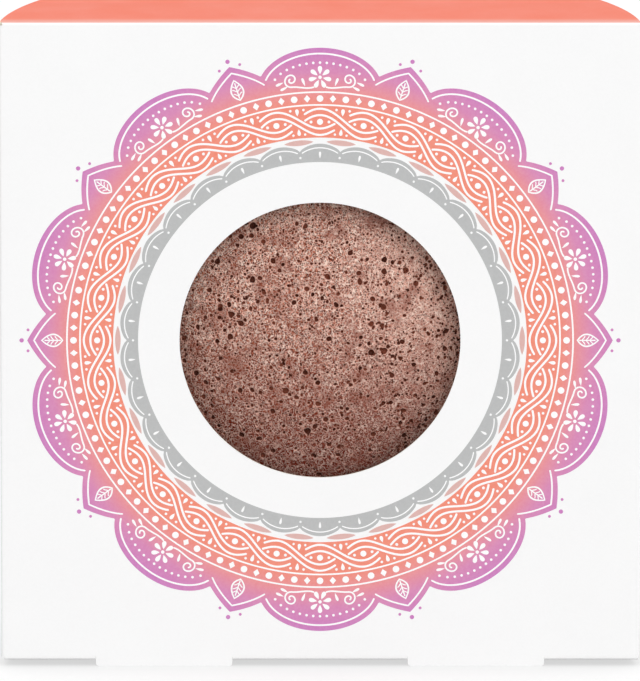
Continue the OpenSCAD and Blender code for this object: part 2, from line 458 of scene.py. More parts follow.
def fold_section(corner, along_a, along_b):
    """Pairs of (outer, inner) points round a fold, from panel a to panel b."""
    corner, along_a, along_b = Vector(corner), Vector(along_a), Vector(along_b)
    half = along_a.angle(along_b) / 2
    middle = (along_a + along_b).normalized()
    centre = corner + middle * (FOLD_R / math.sin(half))
    touch_a = corner + along_a * (FOLD_R / math.tan(half)) - centre
    touch_b = corner + along_b * (FOLD_R / math.tan(half)) - centre
    turn = touch_a.angle_signed(touch_b)
    section = []
    for i in range(FOLD_STEPS + 1):
        spoke = touch_a.normalized()
        angle = -turn * i / FOLD_STEPS
        spoke = Vector((spoke.x * math.cos(angle) - spoke.y * math.sin(angle),
                        spoke.x * math.sin(angle) + spoke.y * math.cos(angle)))
        full = 1 + FOLD_BEAD * math.sin(math.pi * i / FOLD_STEPS) ** 2
        section.append((centre + spoke * FOLD_R * full, centre + spoke * (FOLD_R - BOARD_T)))
    return section


def add_swept(mesh, section, place, low, high, outside=lambda step: 0):
    """Adds a board bent along section and swept from low to high. outside gives the
    material of each step's outer face."""
    rows = [[mesh.verts.new(place(point, at)) for pair in section for point in pair]
            for at in (low, high)]
    bottom, top = rows
    faces = []
    last = 2 * len(section) - 2
    for i in range(0, last, 2):
        faces.append((mesh.faces.new((bottom[i], bottom[i + 2], top[i + 2], top[i])),
                      outside(i // 2)))
        faces.append((mesh.faces.new((bottom[i + 1], top[i + 1], top[i + 3], bottom[i + 3])), 1))
        for row in rows:
            faces.append((mesh.faces.new((row[i], row[i + 1], row[i + 3], row[i + 2])), 2))
    for i in (0, last):
        faces.append((mesh.faces.new((bottom[i], top[i], top[i + 1], bottom[i + 1])), 2))
    for face, index in faces:
        face.material_index = index
    bmesh.ops.recalc_face_normals(mesh, faces=[face for face, _ in faces])


def standing(point, at):
    """Place for a section drawn on the floor plan and swept upwards."""
    return (point[0], point[1], at)


def crosswise(point, at):
    """Place for a section drawn in the side view (Y, Z) and swept along X."""
    return (at, point[0], point[1])


board_materials = (white_coat, bare_inside, cut_edge)
print("fold radius", FOLD_R / MM, "mm")

# %% [markdown]
# ## Front
# The front is the face that sells: flat, white, with a die-cut round window. Two tabs stay
# upright below the crease and lift the carton by about a millimetre, and their lower
# corners are rounded. The left edge folds back into the wall, so the fold is part of this
# piece. The right edge is a plain cut.

# %% Front board
FOOT_X = 26.4 * MM
FOOT_HALF = 11.55 * MM
FOOT_CORNER = 0.5 * MM
WINDOW_STEPS = 160
PANEL_BOTTOM = BOTTOM_Z + FOLD_R
left_corner = (-math.sqrt(WALL_R ** 2 - (FRONT_Y - WALL_Y) ** 2), FRONT_Y)
spoke = (Vector(left_corner) - Vector((0, WALL_Y))).normalized()
backwards = Vector((spoke.y, -spoke.x))
left_fold = fold_section(left_corner, (1, 0), backwards)
flat_left = left_fold[0][0].x


def foot_outline(middle):
    """The lower edge of one foot, from left to right."""
    left, right = middle - FOOT_HALF, middle + FOOT_HALF
    return ([(left, PANEL_BOTTOM)]
            + arc((left + FOOT_CORNER, FOOT_CORNER), FOOT_CORNER, 180, 270, 6)
            + arc((right - FOOT_CORNER, FOOT_CORNER), FOOT_CORNER, 270, 360, 6)
            + [(right, PANEL_BOTTOM)])


front_outline = ([(flat_left, PANEL_BOTTOM)] + foot_outline(-FOOT_X) + foot_outline(FOOT_X)
                 + [(HALF_W, PANEL_BOTTOM), (HALF_W, WALL_TOP), (flat_left, WALL_TOP)])
window_outline = circle((0, WINDOW_Z), WINDOW_R, WINDOW_STEPS)
front_mesh = bmesh.new()
add_board(front_mesh, [front_outline, window_outline], lambda u, v, depth: (u, FRONT_Y + depth, v))
add_swept(front_mesh, left_fold, standing, PANEL_BOTTOM, WALL_TOP)
front_board = finish_piece("front_board", front_mesh, board_materials)
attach(front_board, "carton")
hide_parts("front_panel")

# %% [markdown]
# ## Curved wall
# Sides and back are one strip of board, sprung into an arc between the two front edges.
# At its right end it folds in behind the front and becomes the glue flap, which is already
# a CAD piece. The strip is swept up from its floor plan: left end, arc, right fold. Its
# lower front corners are cut off on a slant. The gap under the front then runs out to both
# sides with light in it, as the photograph shows.

# %% Wall board
WALL_STEPS = 180
WALL_CUT = 9 * MM
right_corner = (math.sqrt(WALL_R ** 2 - (GLUED_Y - WALL_Y) ** 2), GLUED_Y)
spoke = (Vector(right_corner) - Vector((0, WALL_Y))).normalized()
right_fold = fold_section(right_corner, (-spoke.y, spoke.x), (-1, 0))
start = Vector(left_fold[-1][0]) - Vector((0, WALL_Y))
end = Vector(right_fold[0][0]) - Vector((0, WALL_Y))
from_angle = math.degrees(math.atan2(start.y, start.x))
to_angle = math.degrees(math.atan2(end.y, end.x))
outer_arc = arc((0, WALL_Y), WALL_R, from_angle, to_angle, WALL_STEPS)
inner_arc = arc((0, WALL_Y), WALL_R - BOARD_T, from_angle, to_angle, WALL_STEPS)
wall_section = [(Vector(a), Vector(b)) for a, b in zip(outer_arc, inner_arc)]


def wall_place(point, at):
    """Place in the wall, with the lower edge raised near the front."""
    raised = PANEL_BOTTOM * (1 - (point[1] - FRONT_Y) / WALL_CUT)
    return (point[0], point[1], max(at, raised))


wall_mesh = bmesh.new()
add_swept(wall_mesh, wall_section + right_fold[1:], wall_place, 0.0, WALL_TOP)
wall_board = finish_piece("wall_board", wall_mesh, board_materials)
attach(wall_board, "carton")
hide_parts("back_wall")

# %% [markdown]
# ## Lid and bottom
# The lid lies on top of the wall, and the bottom lies inside it. Both are half-moons cut
# straight at the front crease, with a shallow notch at the back where the tuck flap hangs.
# The bottom is also cut back round the two feet.

# %% Half-moon boards
TUCK_HALF = 13.0 * MM
TUCK_GAP = 0.3 * MM
TUCK_LENGTH = 14.0 * MM
TUCK_CORNER = 5.0 * MM
TUCK_LEAN = math.radians(12)
tuck_down = Vector((-math.sin(TUCK_LEAN), -math.cos(TUCK_LEAN)))
TUCK_START = FOLD_R / math.tan(tuck_down.angle(Vector((-1, 0))) / 2)
NOTCH_Y = TUCK_CREASE - TUCK_START
CREASE_Y = FRONT_Y + FOLD_R
FOOT_ROOM = 0.3 * MM
MOON_STEPS = 70
FOOT_NOTCH = 1.85 * MM
FOOT_NOTCH_Y = front_low.y + FOOT_NOTCH


def half_moon(radius, front_edge):
    """Outline behind the front edge, inside the arc, with the notch for the tuck flap."""
    reach = math.degrees(math.asin((CREASE_Y - WALL_Y) / radius))
    notch = TUCK_HALF + TUCK_GAP
    side = math.degrees(math.acos(notch / radius))
    return (front_edge + arc((0, WALL_Y), radius, reach, side, MOON_STEPS)
            + [(notch, NOTCH_Y), (-notch, NOTCH_Y)]
            + arc((0, WALL_Y), radius, 180 - side, 180 - reach, MOON_STEPS))


lid_mesh = bmesh.new()
add_board(lid_mesh, [half_moon(WALL_R, [])], lambda u, v, depth: (u, v, LID_TOP - depth))
lid_board = finish_piece("lid_board", lid_mesh, (coral_coat, bare_inside, cut_edge))
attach(lid_board, "lid")
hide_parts("top_lid")

feet_edge = []
for middle in (-FOOT_X, FOOT_X):
    left = middle - FOOT_HALF - FOOT_ROOM
    right = middle + FOOT_HALF + FOOT_ROOM
    feet_edge += [(left, CREASE_Y), (left, FOOT_NOTCH_Y), (right, FOOT_NOTCH_Y), (right, CREASE_Y)]
bottom_radius = WALL_R - (front_high.y - front_low.y) - TUCK_GAP
bottom_mesh = bmesh.new()
add_board(bottom_mesh, [half_moon(bottom_radius, feet_edge)],
          lambda u, v, depth: (u, v, BOTTOM_Z + depth))
bottom_board = finish_piece("bottom_board", bottom_mesh, board_materials)
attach(bottom_board, "bottom")
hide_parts("bottom_flap")

# %% [markdown]
# ## Tuck flaps
# Each tuck flap turns down from a crease at the back, just inside the wall, and its crease
# presses on the wall. It leans inwards, and its tip has large round corners, so that it
# finds its way in by touch.

# %% Tuck boards
def tuck_outline():
    """A flap from the end of its fold to its tip."""
    low = TUCK_LENGTH - TUCK_CORNER
    side = TUCK_HALF - TUCK_CORNER
    return ([(TUCK_HALF, TUCK_START)] + arc((side, low), TUCK_CORNER, 0, 90, 12)
            + arc((-side, low), TUCK_CORNER, 90, 180, 12) + [(-TUCK_HALF, TUCK_START)])


def tuck_place(level, up):
    """Place on a flap that hangs at level, or stands on it where up is 1."""
    def place(u, v, depth):
        y = TUCK_CREASE + tuck_down.x * v + tuck_down.y * depth
        z = level + up * (-tuck_down.y * v + tuck_down.x * depth)
        return (u, y, z)
    return place


for name, level, up, coat, slot in (("lid_tuck", LID_TOP, -1, coral_coat, "lid_board"),
                                    ("bottom_tuck", BOTTOM_Z, 1, white_coat, "wall_board")):
    tuck_mesh = bmesh.new()
    add_board(tuck_mesh, [tuck_outline()], tuck_place(level, up))
    tuck_board = finish_piece(name + "_board", tuck_mesh, (coat, bare_inside, cut_edge))
    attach(tuck_board, name)
    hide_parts(name + "_flap")

# %% [markdown]
# ## Creases that move
# A rigid lid that turns about its crease would leave the front by a hair's breadth. On the
# real carton the board bends there, so each crease is a narrow strip of board of its own.

# %% Crease strips
def crease_strip(name, corner, along_a, along_b, spans, coats, border):
    """A strip of board round a crease. coats are the outside finishes of its first and last
    part, which meet at the share border."""
    section = fold_section(corner, along_a, along_b)
    change = border * FOLD_STEPS
    strip_mesh = bmesh.new()
    for low, high in spans:
        add_swept(strip_mesh, section, crosswise, low, high,
                  outside=lambda step: 3 if step >= change else 0)
    piece = finish_piece(name, strip_mesh, (coats[0], bare_inside, cut_edge, coats[1]))
    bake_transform(piece)
    return piece


FOOT_SLIT = 0.04 * MM
RIGHT_END = HALF_W - 0.1 * MM
lid_crease = crease_strip(
    "lid_crease_strip", (FRONT_Y, LID_TOP), (0, -1), (1, 0), [(flat_left, RIGHT_END)],
    (white_coat, coral_coat), 0.6)
bottom_crease = crease_strip(
    "bottom_crease_strip", (FRONT_Y, BOTTOM_Z), (0, 1), (1, 0),
    [(flat_left, -FOOT_X - FOOT_HALF - FOOT_SLIT),
     (-FOOT_X + FOOT_HALF + FOOT_SLIT, FOOT_X - FOOT_HALF - FOOT_SLIT),
     (FOOT_X + FOOT_HALF + FOOT_SLIT, RIGHT_END)],
    (white_coat, white_coat), 1)
lid_tuck_crease = crease_strip(
    "lid_tuck_crease_strip", (TUCK_CREASE, LID_TOP), (-1, 0), tuck_down,
    [(-TUCK_HALF, TUCK_HALF)], (coral_coat, coral_coat), 1)
bottom_tuck_crease = crease_strip(
    "bottom_tuck_crease_strip", (TUCK_CREASE, BOTTOM_Z), (-1, 0), (tuck_down.x, -tuck_down.y),
    [(-TUCK_HALF, TUCK_HALF)], (white_coat, white_coat), 1)

# %% [markdown]
# ## Film and glue
# The window is a patch of regenerated cellulose, as thin as a hair and quite clear. Light
# goes straight through it and a little of it glances off, more at a flat angle. A mix of
# a transparent and a glossy shader says just that, without the noise of real refraction.
# A Fresnel node would take the film's far side for the inside of solid glass, and make a
# dark mirror of it at flat angles. So the share that glances off is worked out from how
# flat the angle is, to the fifth power, which is the same from both sides. The photograph
# shows almost no glare, so the share is matched down from cellulose's 4 in a hundred.

# %% Cellulose film
FILM_RIPPLE = 14 * MM
RIPPLE_HEIGHT = 0.3 * MM
GLANCE_LEAST = 0.003
GLANCE_MOST = 0.5
film = bpy.data.materials.new("clear_cellulose_film")
film.use_nodes = True
film_tree = film.node_tree
film_tree.nodes.clear()
film_place = add(film_tree, "ShaderNodeTexCoord").outputs["Object"]
ripple = add(film_tree, "ShaderNodeTexNoise", {"Vector": film_place, "Scale": 1 / FILM_RIPPLE,
                                               "Detail": 1.0})
film_bump = add(film_tree, "ShaderNodeBump", {"Height": ripple, "Strength": 0.5,
                                              "Distance": RIPPLE_HEIGHT})
flatness = add(film_tree, "ShaderNodeLayerWeight", {"Blend": 0.5})
steep = add(film_tree, "ShaderNodeMath", {0: flatness.outputs["Facing"], 1: 5.0},
            operation="POWER")
glance = add(film_tree, "ShaderNodeMapRange", {0: steep, 3: GLANCE_LEAST, 4: GLANCE_MOST})
clear = add(film_tree, "ShaderNodeBsdfTransparent", {"Color": (0.985, 0.985, 0.98, 1)})
shine = add(film_tree, "ShaderNodeBsdfGlossy", {"Color": (1, 1, 1, 1), "Roughness": 0.06,
                                                "Normal": film_bump})
both = add(film_tree, "ShaderNodeMixShader", {0: glance, 1: clear, 2: shine})
add(film_tree, "ShaderNodeOutputMaterial", {"Surface": both})


def repaint(node_name, material):
    """Gives a CAD node one material, in its own slots."""
    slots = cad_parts[node_name].data.materials
    slots.clear()
    slots.append(material)


repaint("window_film", film)
print("film", round((film_high.y - film_low.y) / MM, 3), "mm thick")

# %% Dried glue and the glue flap
GLUE_LUMP = 1.5 * MM
LUMP_HEIGHT = 0.03 * MM
glue, glue_tree, glue_shader, glue_place = new_material("dried_dispersion_glue")
lumps = add(glue_tree, "ShaderNodeTexNoise", {"Vector": glue_place, "Scale": 1 / GLUE_LUMP,
                                              "Detail": 3.0})
glue_tone = add(glue_tree, "ShaderNodeMix", {0: lumps, 6: linear("E6DFCB"),
                                             7: linear("F1ECDF")}, data_type="RGBA")
glue_gloss = add(glue_tree, "ShaderNodeMapRange", {0: lumps, 3: 0.25, 4: 0.5})
glue_bump = add(glue_tree, "ShaderNodeBump", {"Height": lumps, "Strength": 0.4,
                                              "Distance": LUMP_HEIGHT})
feed(glue_shader, {"Base Color": glue_tone.outputs[2], "Roughness": glue_gloss,
                   "Normal": glue_bump})
repaint("film_glue", glue)
repaint("seam_glue", glue)
repaint("glue_flap", bare_inside)
print("glue and glue flap painted")

# %% [markdown]
# ## Printed wreath
# Round the window the board carries a printed wreath: a grey collar, then petals that run
# from coral through pink to orchid, with fine white drawing on top. The design here is a
# generic one: ten broad petals over ten pointed ones, a braid, strings of beads and small
# blossoms. Ink is made as very thin closed plates, because real printed colour has a crisp
# edge at any distance, and a plate keeps that edge as geometry.
#
# Offset inks are smooth and take their sheen from the varnish above them. The petals' ink
# needs one more thing, a blend by distance from the middle of the window.

# %% Inks
# The petals' colours run between these two distances from the window's middle.
INNER_MM = 34.0
OUTER_MM = 50.4


def ink(name, hex_code, stops=None):
    """A varnished offset ink. stops colour it by its distance from the window's middle, in
    millimetres from INNER_MM to OUTER_MM."""
    material, tree, shader, place = new_material(name)
    grain = add(tree, "ShaderNodeTexNoise", {"Vector": place, "Scale": 1 / PRINT_GRAIN,
                                             "Detail": 2.0})
    tone = linear(hex_code)
    if stops:
        centred = add(tree, "ShaderNodeVectorMath", {0: place, 1: (0, FRONT_Y, WINDOW_Z)},
                      operation="DISTANCE")
        share = add(tree, "ShaderNodeMapRange", {0: centred.outputs["Value"],
                                                 1: INNER_MM * MM, 2: OUTER_MM * MM})
        tone = add(tree, "ShaderNodeValToRGB", {0: share}, stops=stops)
    fade = add(tree, "ShaderNodeMapRange", {0: grain, 1: 0.3, 2: 0.7, 3: 0.0, 4: 0.06})
    tone = add(tree, "ShaderNodeMix", {0: fade, 6: tone, 7: (1, 1, 1, 1)}, data_type="RGBA")
    gloss = add(tree, "ShaderNodeMapRange", {0: grain, 1: 0.3, 2: 0.7, 3: 0.4, 4: 0.5})
    feed(shader, {"Base Color": tone.outputs[2], "Roughness": gloss, "Specular IOR Level": 0.35})
    return material


petal_ink = ink("petal_offset_ink", "F28A72", stops=(
    (0, "F28A70"), (0.38, "F18A75"), (0.56, "E98F95"), (0.74, "D886B4"), (1, "CA79BD")))
white_ink = ink("white_offset_ink", "FFFFFF")
grey_ink = ink("grey_offset_ink", "B9BABA")
blush_ink = ink("blush_offset_ink", "DDB2AC")
print("inks:", petal_ink.name, white_ink.name, grey_ink.name, blush_ink.name)

# %% [markdown]
# The drawing is planned in millimetres from the middle of the window, for the sector that
# points straight up: x runs to the right and r outwards. A line is a stroke with round
# ends, and everything else is a closed outline.

# %% Outlines of the drawing
RING_STEPS = 240
DROP_STEPS = 8


def polar(radius, degrees):
    """A point at a distance from the window's middle, turned clockwise from straight up."""
    angle = math.radians(degrees)
    return (radius * math.sin(angle), radius * math.cos(angle))


def stroke(points, width):
    """A line of ink with round ends, as one closed outline."""
    sides = [[], []]
    for before, here, after in zip(points[:1] + points[:-1], points, points[1:] + points[-1:]):
        run = Vector((after[0] - before[0], after[1] - before[1])).normalized()
        for side, sign in zip(sides, (1, -1)):
            side.append((here[0] - run.y * width / 2 * sign, here[1] + run.x * width / 2 * sign))
    caps = []
    for tip, neighbour in ((points[-1], points[-2]), (points[0], points[1])):
        facing = math.degrees(math.atan2(tip[1] - neighbour[1], tip[0] - neighbour[0]))
        caps.append(arc(tip, width / 2, facing + 90, facing - 90, 6)[1:-1])
    return sides[0] + caps[0] + sides[1][::-1] + caps[1]


def dot(middle, width, count=14):
    """A round dot."""
    return circle(middle, width / 2, count)


def drop(base, tip, width):
    """A drop with its point at base and its round end at tip."""
    base, tip = Vector(base), Vector(tip)
    run = tip - base
    side = Vector((-run.y, run.x)).normalized() * width / 2
    points = []
    for i in range(2 * DROP_STEPS):
        turn = math.pi * i / DROP_STEPS
        along = (1 - math.cos(turn)) / 2
        swell = math.sin(turn) * along ** 0.6
        points.append(tuple(base + run * along + side * swell))
    return points[1:] if points[0] == points[1] else points


def curve(first, pull_a, pull_b, last, count):
    """Points on a cubic curve."""
    return [tuple((1 - s) ** 3 * a + 3 * (1 - s) ** 2 * s * b + 3 * (1 - s) * s ** 2 * c
                  + s ** 3 * d for a, b, c, d in zip(first, pull_a, pull_b, last))
            for s in spread(0, 1, count)]


def ring(outer, inner):
    """An annulus: its outline and its hole."""
    return [circle((0, 0), radius, RING_STEPS) for radius in (outer, inner)]


ROUND_PETALS = 10
PETAL_STEP = 360 / ROUND_PETALS
PETAL_VALLEY = 42.6
# A petal's half width in degrees, its foot's distance from the middle, and its height.
ROUND_HALF = 13.6
ROUND_BASE = 43.6
ROUND_HEIGHT = 6.7
POINT_HALF = 9.4
POINT_BASE = 42.4
POINT_HEIGHT = 7.0
POINT_CURVE = 0.62
DEGREES_PER_MM = 1.25


def petal_radius(degrees, shrink=0.0):
    """Distance of the wreath's edge in one direction, drawn in by shrink, in millimetres.
    Each petal's width is an angle from its middle line, its height a distance."""
    off_round = (degrees + PETAL_STEP / 2) % PETAL_STEP - PETAL_STEP / 2
    off_point = degrees % PETAL_STEP - PETAL_STEP / 2
    round_half = ROUND_HALF - shrink * DEGREES_PER_MM
    point_half = POINT_HALF - shrink * DEGREES_PER_MM
    reach = PETAL_VALLEY
    if abs(off_round) < round_half:
        swell = math.sqrt(1 - (off_round / round_half) ** 2)
        reach = ROUND_BASE + (ROUND_HEIGHT - shrink) * swell
    if abs(off_point) < point_half:
        spire = (1 - abs(off_point) / point_half) ** POINT_CURVE
        reach = max(reach, POINT_BASE + (POINT_HEIGHT - shrink) * spire)
    return reach


print("petals:", ROUND_PETALS, "round and", ROUND_PETALS, "pointed")

# %% [markdown]
# A small Geometry Nodes tree repeats a motif round the window. The motif is the object's
# own mesh. The tree puts as many points as asked at the window's middle, sets a copy on
# each, turned a step further, and makes the copies real.

# %% Ring of motifs
def sockets_in(tree, *wanted):
    """Adds named inputs, and one Geometry output."""
    for name, kind in wanted:
        tree.interface.new_socket(name, in_out="INPUT", socket_type=kind)
    tree.interface.new_socket("Geometry", in_out="OUTPUT", socket_type="NodeSocketGeometry")


ring_tree = bpy.data.node_groups.new("ring_of_motifs", "GeometryNodeTree")
sockets_in(ring_tree, ("Motif", "NodeSocketGeometry"), ("Count", "NodeSocketInt"),
           ("First Turn", "NodeSocketFloat"), ("Centre", "NodeSocketVector"),
           ("Ink", "NodeSocketMaterial"))
given = add(ring_tree, "NodeGroupInput")
points = add(ring_tree, "GeometryNodePoints", {"Count": given.outputs["Count"],
                                               "Position": given.outputs["Centre"]})
number = add(ring_tree, "GeometryNodeInputIndex")
step = add(ring_tree, "ShaderNodeMath", {0: math.tau, 1: given.outputs["Count"]},
           operation="DIVIDE")
turn = add(ring_tree, "ShaderNodeMath", {0: number, 1: step,
                                         2: given.outputs["First Turn"]},
           operation="MULTIPLY_ADD")
turned = add(ring_tree, "ShaderNodeCombineXYZ", {1: turn})
copies = add(ring_tree, "GeometryNodeInstanceOnPoints", {
    "Points": points, "Instance": given.outputs["Motif"],
    "Rotation": turned})
real = add(ring_tree, "GeometryNodeRealizeInstances", {0: copies})
inked = add(ring_tree, "GeometryNodeSetMaterial", {"Geometry": real,
                                                   "Material": given.outputs["Ink"]})
add(ring_tree, "NodeGroupOutput", {0: inked})


def grow(piece, tree, **values):
    """Runs a tree on a piece and keeps the result as its plain mesh."""
    modifier = piece.modifiers.new(tree.name, "NODES")
    modifier.node_group = tree
    for item in tree.interface.items_tree:
        key = item.name.lower().replace(" ", "_")
        if item.in_out == "INPUT" and key in values:
            modifier[item.identifier] = values[key]
    evaluated = piece.evaluated_get(bpy.context.evaluated_depsgraph_get())
    mesh = bpy.data.meshes.new_from_object(evaluated)
    piece.modifiers.remove(modifier)
    piece.data = mesh
    print(piece.name, "grown to", len(mesh.polygons), "faces")


ONE_FINISH = {"outside": 0, "inside": 0, "edge": 0}
# A plate starts a little inside the board, so that no gap shows under it.
INK_SINK = 0.005 * MM
INK_LEVELS = {"ground": 0.010 * MM, "line": 0.022 * MM}
INK_STAGGER = 0.0008 * MM


def printed(name, shapes, level, material, count=1, turned=0.0):
    """Ink plates from shapes in millimetres round the window's middle. Each shape is an
    outline, or an outline with its holes. count copies go round, turned by some degrees.
    Each plate is a hair higher than the last, so that two that cross never share a face."""
    mesh = bmesh.new()
    for number, shape in enumerate(shapes):
        height = INK_LEVELS[level] + INK_STAGGER * (number % 10)
        loops = shape if isinstance(shape[0], list) else [shape]
        loops = [[(u * MM, v * MM) for u, v in loop] for loop in loops]
        add_board(mesh, loops, lambda u, v, depth: (u, FRONT_Y - height + depth, v),
                  thickness=height + INK_SINK, rounding=0, layers=ONE_FINISH)
    piece = finish_piece(name, mesh, (material,))
    grow(piece, ring_tree, count=count, first_turn=math.radians(turned),
         centre=(0.0, 0.0, WINDOW_Z), ink=material)
    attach(piece, "carton")


print("ring tree ready")

# %% [markdown]
# The print goes on as it would on a press: grounds first, and fine lines over them. Most
# pieces below are one motif, drawn once and repeated round the window. Their numbers are
# millimetres, or degrees clockwise from straight up.

# %% Grounds: grey collar, blush lenses and petals
COLLAR_SCALLOPS = 30
COLLAR_INNER = 30.7
COLLAR_OUTER = 32.6
SCALLOP_HEIGHT = 1.25
SCALLOP_HALF = 180 / COLLAR_SCALLOPS
PETAL_INNER = 34.9


def scallop(degrees):
    """How far the scallops stand out in one direction, from 0 to 1."""
    return abs(math.cos(math.radians(degrees * COLLAR_SCALLOPS / 2))) ** 0.7


collar_edge = [polar(COLLAR_OUTER + SCALLOP_HEIGHT * scallop(a), a)
               for a in spread(0, 360, COLLAR_SCALLOPS * 16)[:-1]]
collar = [collar_edge, circle((0, 0), COLLAR_INNER, RING_STEPS)]
printed("wreath_collar", [collar], "ground", grey_ink)
petal_edge = [polar(petal_radius(a), a) for a in spread(0, 360, 1440)[:-1]]
petals = [petal_edge, circle((0, 0), PETAL_INNER, RING_STEPS)]
printed("wreath_petals", [petals], "ground", petal_ink)
lens = (curve(polar(34.2, -4.2), polar(33.5, -2), polar(33.5, 2), polar(34.2, 4.2), 10)
        + curve(polar(34.2, 4.2), polar(34.75, 2), polar(34.75, -2), polar(34.2, -4.2), 10)[1:-1])
printed("wreath_lenses", [lens], "ground", blush_ink, COLLAR_SCALLOPS, SCALLOP_HALF)
tip_beads = [dot(polar(50.35, 0), 0.75), dot(polar(49.3, -2.1), 0.5), dot(polar(49.3, 2.1), 0.5)]
POINT_TURN = PETAL_STEP / 2
printed("wreath_tip_beads", tip_beads, "ground", petal_ink, ROUND_PETALS, POINT_TURN)

# %% Lines of the collar
collar_line = [polar(32.0 + 1.15 * scallop(a), a)
               for a in spread(-SCALLOP_HALF, SCALLOP_HALF, 16)[1:-1]]
printed("collar_lines", [stroke(collar_line, 0.2), dot(polar(31.55, 6.0), 0.4),
                         drop(polar(31.3, 0), polar(32.5, 0), 0.55)],
        "line", white_ink, COLLAR_SCALLOPS)

# %% Braid on the coral band
BRAID_WAVES = 16
BRAID_MIDDLE = 37.6
BRAID_SWING = 1.7
BRAID_HALF = 0.55
BRAID_STROKE = 0.36
# Where two strands cross, one of them stops short by this many degrees of its wave.
BRAID_GAP = 30
WAVE = 360 / BRAID_WAVES
strands = []
for sign, first in ((1, -90), (-1, 90)):
    for shift in (-BRAID_HALF, BRAID_HALF):
        line = []
        for phase in spread(first + BRAID_GAP, first + 360 - BRAID_GAP, 40):
            r = BRAID_MIDDLE + shift + sign * BRAID_SWING * math.cos(math.radians(phase))
            line.append(polar(r, phase / BRAID_WAVES))
        strands.append(stroke(line, BRAID_STROKE))
eyes = []
for turn in (0, WAVE / 2):
    eyes += [dot(polar(BRAID_MIDDLE, turn), 1.05), dot(polar(BRAID_MIDDLE, turn - 2.3), 0.5),
             dot(polar(BRAID_MIDDLE, turn + 2.3), 0.5)]
printed("braid_lines", strands + eyes, "line", white_ink, BRAID_WAVES)
fillings = [drop((0, 38.7), (0, 39.95), 0.85), drop((0, 36.5), (0, 35.35), 0.8)]
for side in (-1, 1):
    fillings += [dot(polar(39.72, side * 1.6), 0.45), dot(polar(35.5, side * 1.6), 0.42)]
printed("braid_fillings", fillings, "line", white_ink, 2 * BRAID_WAVES, WAVE / 4)

# %% Strings of beads
printed("bead_circles", [ring(40.64, 40.36), ring(42.84, 42.56)], "line", white_ink)
beads = [dot(polar(41.6, 0), 1.15),
         [polar(42.25, 3), polar(41.6, 3.75), polar(40.95, 3), polar(41.6, 2.25)]]
printed("bead_string", beads, "line", white_ink, 60)

# %% Round petals: border line, beads, a blossom and two scrolls
def round_the_ring(points):
    """Points (distance along the ring, radius) bent round the window."""
    return [polar(r, math.degrees(x / r)) for x, r in points]


border = [polar(petal_radius(a, 1.0), a) for a in spread(-11.5, 11.5, 44)]
garland = [polar(44.0 + 3.75 * math.sqrt(max(0, 1 - (a / 10.4) ** 2)), a)
           for a in spread(-9.6, 9.6, 14)]
printed("petal_borders", [stroke(border, 0.3)] + [dot(p, 0.46, 10) for p in garland],
        "line", white_ink, ROUND_PETALS)
BLOSSOM_R = 45.25
BLOSSOM_LEAVES = 7
blossom = [dot((0, BLOSSOM_R), 0.6)]
for i in range(BLOSSOM_LEAVES):
    foot, tip = polar(0.5, 360 * i / BLOSSOM_LEAVES), polar(1.95, 360 * i / BLOSSOM_LEAVES)
    blossom.append(drop((foot[0], BLOSSOM_R + foot[1]), (tip[0], BLOSSOM_R + tip[1]), 1.02))
SCROLL_X = 4.9
SCROLL_R = 45.0
SCROLL_TURNS = 1.35
SCROLL_SIZE = 1.2
SCROLL_SHRINK = 0.95
SCROLL_STEPS = 30
for side in (-1, 1):
    stem = curve((1.1, 43.55), (2.2, 43.2), (3.6, 43.8), (SCROLL_X, SCROLL_R - SCROLL_SIZE), 10)
    for i in range(1, SCROLL_STEPS + 1):
        size = SCROLL_SIZE - SCROLL_SHRINK * i / SCROLL_STEPS
        turn = math.tau * SCROLL_TURNS * i / SCROLL_STEPS
        stem.append((SCROLL_X + size * math.sin(turn), SCROLL_R - size * math.cos(turn)))
    blossom.append(stroke(round_the_ring([(side * x, r) for x, r in stem]), 0.28))
    for foot, tip in (((2.5, 43.75), (3.05, 45.2)), ((6.15, 44.75), (7.5, 44.35)),
                      ((5.4, 43.95), (6.7, 43.45))):
        leaf_ends = round_the_ring([(side * foot[0], foot[1]), (side * tip[0], tip[1])])
        blossom.append(drop(*leaf_ends, 0.62))
printed("petal_blossoms", blossom, "line", white_ink, ROUND_PETALS)

# %% Pointed petals: border line, and a leaf with its veins
spike = [polar(petal_radius(POINT_TURN + a, 1.15), a) for a in spread(-5.9, 5.9, 40)]
leaf = (curve((0, 43.3), (1.75, 44.4), (1.4, 45.7), (0, 47.1), 12)
        + curve((0, 47.1), (-1.4, 45.7), (-1.75, 44.4), (0, 43.3), 12)[1:-1])
inner_leaf = [(x * 0.76, 45.1 + (r - 45.1) * 0.84) for x, r in leaf]
veins = [stroke([(0, 43.8), (0, 45.2), (0, 46.4)], 0.22)]
for r in (44.3, 45.0, 45.65):
    for side in (-1, 1):
        veins.append(stroke([(side * 0.16, r), (side * 0.45, r + 0.28), (side * 0.68, r + 0.4)],
                            0.17))
printed("leaf_lines", [stroke(spike, 0.28), [leaf, inner_leaf]] + veins, "line", white_ink,
        ROUND_PETALS, POINT_TURN)

# %% [markdown]
# ## Konjac puff
# Konjac sponge is a gel of root starch that was frozen and dried. Ice left round voids of
# every size in it, from a millimetre down to a hair, and the walls between them dried to a
# net of fine threads. Red clay colours it. Two things have to be real geometry: the dome
# and the larger voids, because they catch the lamp and break the outline. The threads and
# the smallest voids are finer than a mesh can hold, so the material draws them.
#
# The dome is a ball of even triangles, drawn out along the puff's outline by length. The
# triangles are closest together on the crown, which is what the window shows.

